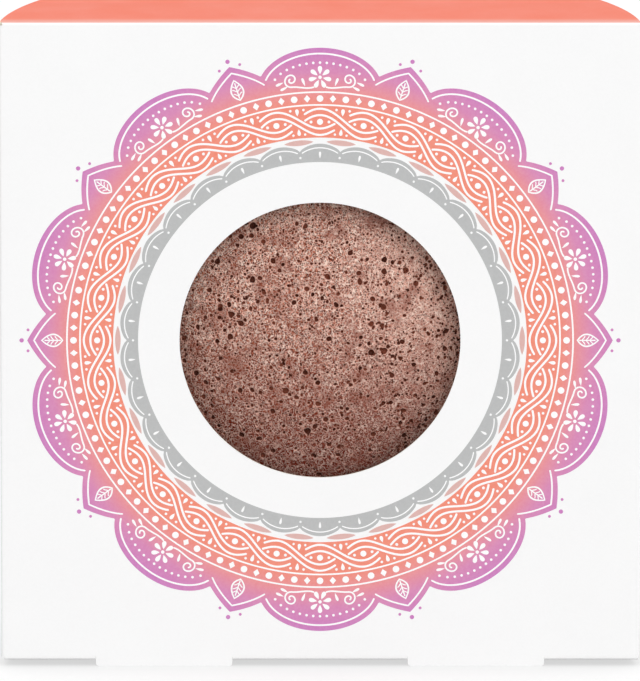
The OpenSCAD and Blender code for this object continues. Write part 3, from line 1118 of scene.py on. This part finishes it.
# %% Dome from its outline
PUFF_DIVISIONS = 8
PUFF_CROWD = 0.4
PUFF_R = (puff_high.x - puff_low.x) / 2
PUFF_H = puff_high.y - puff_low.y
CROWN_R = 60 * MM
SHOULDER_R = 17 * MM
EDGE_R = 9 * MM
crown_c = PUFF_H - CROWN_R
shoulder_x = PUFF_R - SHOULDER_R
shoulder_c = crown_c + math.sqrt((CROWN_R - SHOULDER_R) ** 2 - shoulder_x ** 2)
meet = math.degrees(math.asin(shoulder_x / (CROWN_R - SHOULDER_R)))
outline = arc((0, crown_c), CROWN_R, 90, 90 - meet, 200)
outline += arc((shoulder_x, shoulder_c), SHOULDER_R, 90 - meet, 0, 120)[1:]
outline += arc((PUFF_R - EDGE_R, EDGE_R), EDGE_R, 0, -90, 90)
outline += [(0, 0)]
outline = np.array(outline)
lengths = np.concatenate([[0], np.cumsum(np.linalg.norm(np.diff(outline, axis=0), axis=1))])
ball = bmesh.new()
bmesh.ops.create_icosphere(ball, subdivisions=PUFF_DIVISIONS, radius=1)
puff_mesh = bpy.data.meshes.new("konjac_puff")
ball.to_mesh(puff_mesh)
ball.free()
spots = np.empty(len(puff_mesh.vertices) * 3)
puff_mesh.vertices.foreach_get("co", spots)
spots = spots.reshape(-1, 3)
share = np.arccos(np.clip(-spots[:, 1], -1, 1)) / math.pi
run = lengths[-1] * ((1 - PUFF_CROWD) * share + PUFF_CROWD * share ** 2)
reach = np.interp(run, lengths, outline[:, 0])
height = np.interp(run, lengths, outline[:, 1])
flat = np.maximum(np.hypot(spots[:, 0], spots[:, 2]), 1e-9)
puff_z = (puff_low.z + puff_high.z) / 2
placed = np.column_stack([reach * spots[:, 0] / flat, puff_high.y - height,
                          puff_z + reach * spots[:, 2] / flat])
puff_mesh.vertices.foreach_set("co", placed.ravel())
puff_mesh.polygons.foreach_set("use_smooth", [True] * len(puff_mesh.polygons))
puff_mesh.update()
puff = bpy.data.objects.new("konjac_puff", puff_mesh)
bpy.context.scene.collection.objects.link(puff)
print("puff", len(puff_mesh.polygons), "faces, outline", round(lengths[-1] / MM, 1), "mm")

# %% [markdown]
# The voids are wanted twice: the mesh sinks there, and the material paints them. Nodes for
# noise and sums are the same in both kinds of tree, so one function draws the same voids
# in either. A Voronoi texture scatters points through space, one in each cell, and each
# point carries a ball. Where the skin passes through a ball, there is a void. One that is
# cut through its middle shows wide and deep, and one that is only grazed shows small, as
# in a real section. They are larger in some places than in others, and not quite round.

# %% Voids in a tree of either kind
# Balls are smaller or larger, by these shares, in patches this wide. The least of them has
# this share of the full radius.
VOID_CLUSTER = 6 * MM
VOID_CROWD = (0.76, 1.1)
VOID_LEAST = 0.4
# A noise of this width pushes the balls' outlines about, by up to this much.
VOID_WANDER = 1.0 * MM
VOID_BEND = 0.35 * MM


def add_voids(tree, place, sizes):
    """Nodes for balls of each (spacing, radius). Gives for each size the radius of the ball
    that is near, how far a place lies inside it, and the ball's luck from 0 to 1."""
    wander = add(tree, "ShaderNodeTexNoise", {"Vector": place, "Scale": 1 / VOID_WANDER,
                                              "Detail": 0.0})
    bent = add(tree, "ShaderNodeVectorMath", {0: wander.outputs["Color"], 1: (VOID_BEND,) * 3,
                                              2: place}, operation="MULTIPLY_ADD")
    cluster = add(tree, "ShaderNodeTexNoise", {"Vector": place, "Scale": 1 / VOID_CLUSTER,
                                               "Detail": 1.0})
    crowd = add(tree, "ShaderNodeMapRange", {0: cluster, 1: 0.35, 2: 0.65,
                                             3: VOID_CROWD[0], 4: VOID_CROWD[1]})
    found = []
    for spacing, radius in sizes:
        often = add(tree, "ShaderNodeMath", {0: 1.0, 1: spacing}, operation="DIVIDE")
        cells = add(tree, "ShaderNodeTexVoronoi", {"Vector": bent, "Scale": often})
        luck = add(tree, "ShaderNodeSeparateXYZ", {0: cells.outputs["Color"]})
        share = add(tree, "ShaderNodeMapRange", {0: luck, 3: VOID_LEAST, 4: 1.0})
        full = add(tree, "ShaderNodeMath", {0: share, 1: radius}, operation="MULTIPLY")
        full = add(tree, "ShaderNodeMath", {0: full, 1: crowd}, operation="MULTIPLY")
        away = add(tree, "ShaderNodeMath", {0: cells.outputs["Distance"], 1: spacing},
                   operation="MULTIPLY")
        inside = add(tree, "ShaderNodeMath", {0: full, 1: away}, operation="SUBTRACT")
        found.append((full, inside, luck.outputs[1]))
    return found


print("void clusters every", round(VOID_CLUSTER / MM, 1), "mm")

# %% [markdown]
# The tree for the mesh sinks the skin by what is left of each ball below it, and adds a few
# broad shallow dents, because a dried puff is never quite even. It also stores where each
# spot lay before it sank. The material draws its voids from that, so that its dark spots
# and the hollows in the mesh are the same ones.

# %% Tree that carves voids
DENT_SIZE = 5 * MM
void_tree = bpy.data.node_groups.new("konjac_voids", "GeometryNodeTree")
sockets_in(void_tree, ("Skin", "NodeSocketGeometry"), ("Wide Spacing", "NodeSocketFloat"),
           ("Wide Radius", "NodeSocketFloat"), ("Small Spacing", "NodeSocketFloat"),
           ("Small Radius", "NodeSocketFloat"), ("Dent Depth", "NodeSocketFloat"),
           ("Seed", "NodeSocketFloat"), ("Finish", "NodeSocketMaterial"))
given = add(void_tree, "NodeGroupInput")
where = add(void_tree, "GeometryNodeInputPosition")
normal = add(void_tree, "GeometryNodeInputNormal")
shifted = add(void_tree, "ShaderNodeVectorMath", {0: where,
                                                  1: given.outputs["Seed"]}, operation="ADD")
sizes = [(given.outputs[size + " Spacing"], given.outputs[size + " Radius"])
         for size in ("Wide", "Small")]
depths = []
for full, inside, _ in add_voids(void_tree, shifted, sizes):
    inside = add(void_tree, "ShaderNodeMath", {0: inside, 1: 0.0}, operation="MAXIMUM")
    twice = add(void_tree, "ShaderNodeMath", {0: full, 1: 2.0}, operation="MULTIPLY")
    across = add(void_tree, "ShaderNodeMath", {0: twice, 1: inside}, operation="SUBTRACT")
    square = add(void_tree, "ShaderNodeMath", {0: inside, 1: across}, operation="MULTIPLY")
    depths.append(add(void_tree, "ShaderNodeMath", {0: square}, operation="SQRT"))
deep = add(void_tree, "ShaderNodeMath", {0: depths[0], 1: depths[1]}, operation="MAXIMUM")
dents = add(void_tree, "ShaderNodeTexNoise", {"Vector": shifted,
                                              "Scale": 1 / DENT_SIZE, "Detail": 3.0})
sunk = add(void_tree, "ShaderNodeMath", {0: dents, 1: given.outputs["Dent Depth"],
                                         2: deep}, operation="MULTIPLY_ADD")
inward = add(void_tree, "ShaderNodeMath", {0: sunk, 1: -1.0}, operation="MULTIPLY")
offset = add(void_tree, "ShaderNodeVectorMath", {0: normal, 3: inward}, operation="SCALE")
marked = add(void_tree, "GeometryNodeStoreNamedAttribute", {
    "Geometry": given.outputs["Skin"], "Name": "skin_place", "Value": shifted},
    data_type="FLOAT_VECTOR", domain="POINT")
carved = add(void_tree, "GeometryNodeSetPosition", {"Geometry": marked, "Offset": offset})
real = add(void_tree, "GeometryNodeRealizeInstances", {0: carved})
painted = add(void_tree, "GeometryNodeSetMaterial", {"Geometry": real,
                                                     "Material": given.outputs["Finish"]})
add(void_tree, "NodeGroupOutput", {0: painted})
print("void tree ready")

# %% [markdown]
# ## Konjac finish
# Dry konjac is a matt, slightly dusty foam. Short threads, paler than the gel behind them,
# cover it like felt. Every void is dark brown, because little light comes back out of it,
# and a paler ring is drawn round its rim. Two more sizes of void, too small for the mesh,
# are only painted. Clay lies unevenly in the gel, as soft darker clouds a few millimetres
# wide. The lower side is painted darker, as painted shade, with its threads and rims less
# pale. The right side is painted paler, as painted light, and its voids are drawn a little
# wider open. A few dried wrinkles run across, painted darker as painted shade in their folds.
# The finest threads of a real one are thinner than a render can show, so they are drawn
# about 0.2 mm wide.
#
# Threads and wrinkles are lines. A line comes wherever a soft noise passes its middle
# value. That gives long curls, and never a loose dot.

# %% Konjac material: voids
# The distance from one ball to the next, and the full radius of a ball.
VOID_SIZES = ((1.85 * MM, 0.56 * MM), (1.1 * MM, 0.36 * MM))
PIT_SIZES = ((0.76 * MM, 0.23 * MM), (0.5 * MM, 0.15 * MM))
# A void's dark comes in between these depths inside its ball.
VOID_EDGE = (-0.02 * MM, 0.05 * MM)
RIM_WIDTH = 0.05 * MM
RIM_SHARE = 0.3
RIM_GAP = 0.03 * MM
CLOUD_SIZE = 3.4 * MM
# The right side is painted paler, as painted light, and its voids are drawn wider. Its edge
# wavers by this much, and fades in over this span.
RIGHT_SIDE_WAVER = 24 * MM
RIGHT_SIDE_SPAN = (12 * MM, 34 * MM)
RIGHT_VOIDS_WIDER = 0.05 * MM


def greatest(tree, shares):
    """The greatest of some shares, as the last of the nodes that compare them."""
    most = shares[0]
    for share in shares[1:]:
        most = add(tree, "ShaderNodeMath", {0: most, 1: share}, operation="MAXIMUM")
    return most


konjac, tree, shader, place = new_material("dry_konjac_foam")
skin = add(tree, "ShaderNodeAttribute", attribute_name="skin_place").outputs["Vector"]
clouds = add(tree, "ShaderNodeTexNoise", {"Vector": skin, "Scale": 1 / CLOUD_SIZE,
                                          "Detail": 4.0, "Roughness": 0.62})
at = add(tree, "ShaderNodeSeparateXYZ", {0: place})
right_side_edge = add(tree, "ShaderNodeMath", {0: clouds, 1: RIGHT_SIDE_WAVER, 2: at.outputs["X"]},
                 operation="MULTIPLY_ADD")
opened = add(tree, "ShaderNodeMapRange", {0: right_side_edge, 1: RIGHT_SIDE_SPAN[0], 2: RIGHT_SIDE_SPAN[1],
                                          4: RIGHT_VOIDS_WIDER})
holes, depths, edges = [], [], []
for full, inside, luck in add_voids(tree, skin, VOID_SIZES + PIT_SIZES):
    inside = add(tree, "ShaderNodeMath", {0: inside, 1: opened}, operation="ADD")
    hole = add(tree, "ShaderNodeMapRange", {0: inside, 1: VOID_EDGE[0], 2: VOID_EDGE[1]})
    holes.append(hole)
    depths.append(add(tree, "ShaderNodeMath", {0: hole, 1: luck}, operation="MULTIPLY"))
    # A paler ring is drawn round each void's rim.
    width = add(tree, "ShaderNodeMath", {0: full, 1: -RIM_SHARE, 2: -RIM_WIDTH},
                operation="MULTIPLY_ADD")
    edges.append(add(tree, "ShaderNodeMapRange", {0: inside, 1: width, 2: -RIM_GAP}))
dark = greatest(tree, holes)
deep = greatest(tree, depths)
rim = greatest(tree, edges[:3])
print("void sizes:", len(VOID_SIZES), "carved and painted,", len(PIT_SIZES), "only painted")

# %% Konjac material: threads
CURL_SIZE = 1.0 * MM
CURL_REACH = 0.5 * MM
THREAD_PATCH = 1.0 * MM
# The distance between threads, and how far from its middle value the noise may be.
THREADS = ((0.7 * MM, 0.056), (0.48 * MM, 0.062))
THREAD_CORE = 0.03


def thin_lines(tree, place, spacing, core, edge, fade="LINEAR"):
    """Lines where a noise is near its middle value, full up to core from it, gone at edge."""
    noise = add(tree, "ShaderNodeTexNoise", {"Vector": place, "Scale": 1 / spacing, "Detail": 1.0})
    off = add(tree, "ShaderNodeMath", {0: noise, 1: 0.5}, operation="SUBTRACT")
    off = add(tree, "ShaderNodeMath", {0: off}, operation="ABSOLUTE")
    return add(tree, "ShaderNodeMapRange", {0: off, 1: core, 2: edge, 3: 1.0, 4: 0.0},
               interpolation_type=fade)


warp = add(tree, "ShaderNodeTexNoise", {"Vector": skin, "Scale": 1 / CURL_SIZE, "Detail": 2.0})
warped = add(tree, "ShaderNodeVectorMath", {0: warp.outputs["Color"], 1: (CURL_REACH,) * 3,
                                            2: skin}, operation="MULTIPLY_ADD")
webs = [thin_lines(tree, warped, spacing, THREAD_CORE, edge, "SMOOTHSTEP")
        for spacing, edge in THREADS]
broken = add(tree, "ShaderNodeTexNoise", {"Vector": skin, "Scale": 1 / THREAD_PATCH,
                                          "Detail": 1.0})
shares = [add(tree, "ShaderNodeMapRange", {0: broken, 1: 0.4, 2: 0.6, 3: low, 4: high})
          for low, high in ((0.1, 1.0), (1.0, 0.35))]
webs = [add(tree, "ShaderNodeMath", {0: web, 1: share}, operation="MULTIPLY")
        for web, share in zip(webs, shares)]
thread = add(tree, "ShaderNodeMath", {0: webs[0], 1: webs[1]}, operation="MAXIMUM")
print("threads in", len(webs), "sizes, curled every", CURL_SIZE / MM, "mm")

# %% Konjac material: clouds, painted shade and light, specks and wrinkles
# The lower side is painted darker from this height down, as painted shade.
LOW_SHADE_FROM = WINDOW_Z + 14 * MM
LOW_SHADE_FULL = WINDOW_Z - 28 * MM
SPECKLE_SIZE = 0.3 * MM
WRINKLE_SPACING = 7 * MM
WRINKLE_PATCH = 4.5 * MM
cloudy = add(tree, "ShaderNodeMapRange", {0: clouds, 1: 0.5, 2: 0.64, 4: 0.55})
painted_low_shade = add(tree, "ShaderNodeMapRange", {0: at.outputs["Z"], 1: LOW_SHADE_FROM, 2: LOW_SHADE_FULL,
                                          3: 0.0, 4: 0.95}, interpolation_type="SMOOTHSTEP")
# The right side's paler colours are painted light.
painted_light_right = add(tree, "ShaderNodeMapRange", {0: right_side_edge, 1: RIGHT_SIDE_SPAN[0], 2: RIGHT_SIDE_SPAN[1],
                                          4: 0.7})
speckle = add(tree, "ShaderNodeTexNoise", {"Vector": skin, "Scale": 1 / SPECKLE_SIZE,
                                           "Detail": 2.0})
gritty = add(tree, "ShaderNodeMapRange", {0: speckle, 1: 0.42, 2: 0.58, 3: 1.0, 4: 0.0})
# Wrinkles are painted darker, as painted shade in their folds.
wrinkle = thin_lines(tree, warped, WRINKLE_SPACING, core=0.003, edge=0.016)
patches = add(tree, "ShaderNodeTexNoise", {"Vector": skin, "Scale": 1 / WRINKLE_PATCH,
                                           "Detail": 1.0})
part = add(tree, "ShaderNodeMapRange", {0: patches, 1: 0.57, 2: 0.64, 4: 0.5})
wrinkle = add(tree, "ShaderNodeMath", {0: wrinkle, 1: part}, operation="MULTIPLY")
# This prints where the painted shade of the lower side begins.
print("clay from", round((LOW_SHADE_FROM - WINDOW_Z) / MM), "mm above the window's middle down")

# %% Konjac material: colours from the gel outwards
RELIEF = 0.14 * MM
# In the lower side's painted shade, threads and rims are drawn less pale.
out_of_low_shade = add(tree, "ShaderNodeMapRange", {0: painted_low_shade, 3: 1.0, 4: 0.5})
lit = add(tree, "ShaderNodeMath", {0: thread, 1: out_of_low_shade}, operation="MULTIPLY")
pale_rim = add(tree, "ShaderNodeMath", {0: rim, 1: out_of_low_shade}, operation="MULTIPLY")
# Among these layers, the right side's two paler colours are painted light. The lower side's red,
# the wrinkles' dark and the voids' dark and deep are painted shade.
layers = ((painted_light_right, "F6CDBF"), (gritty, "5A2216"), (painted_light_right, "F6B7A5"), (painted_low_shade, "702416"),
          (lit, "FFE0D2"), (pale_rim, "F6BFAE"), (cloudy, "8E4736"), (wrinkle, "602C20"),
          (dark, "7C4232"), (deep, "421D13"))
tone = linear("CA7D66")
for share, over in layers:
    tone = add(tree, "ShaderNodeMix", {0: share, 6: tone, 7: linear(over)},
               data_type="RGBA").outputs[2]
relief = add(tree, "ShaderNodeMath", {0: thread, 1: dark}, operation="SUBTRACT")
relief = add(tree, "ShaderNodeMath", {0: relief, 1: wrinkle}, operation="SUBTRACT")
raised = add(tree, "ShaderNodeBump", {"Height": relief, "Strength": 0.7, "Distance": RELIEF})
matt = add(tree, "ShaderNodeMapRange", {0: thread, 3: 0.95, 4: 0.75})
feed(shader, {"Base Color": tone, "Normal": raised, "Roughness": matt, "Specular IOR Level": 0.05})
print("konjac finish of", len(layers), "layers on the gel")

# %% Puff
DENT_DEPTH = 0.4 * MM
(wide_spacing, wide_radius), (small_spacing, small_radius) = VOID_SIZES
grow(puff, void_tree, wide_spacing=wide_spacing, wide_radius=wide_radius,
     small_spacing=small_spacing, small_radius=small_radius, dent_depth=DENT_DEPTH, seed=0.37,
     finish=konjac)
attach(puff, "sponge")
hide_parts("sponge")
print("puff materials:", [m.name if m else None for m in puff.data.materials])
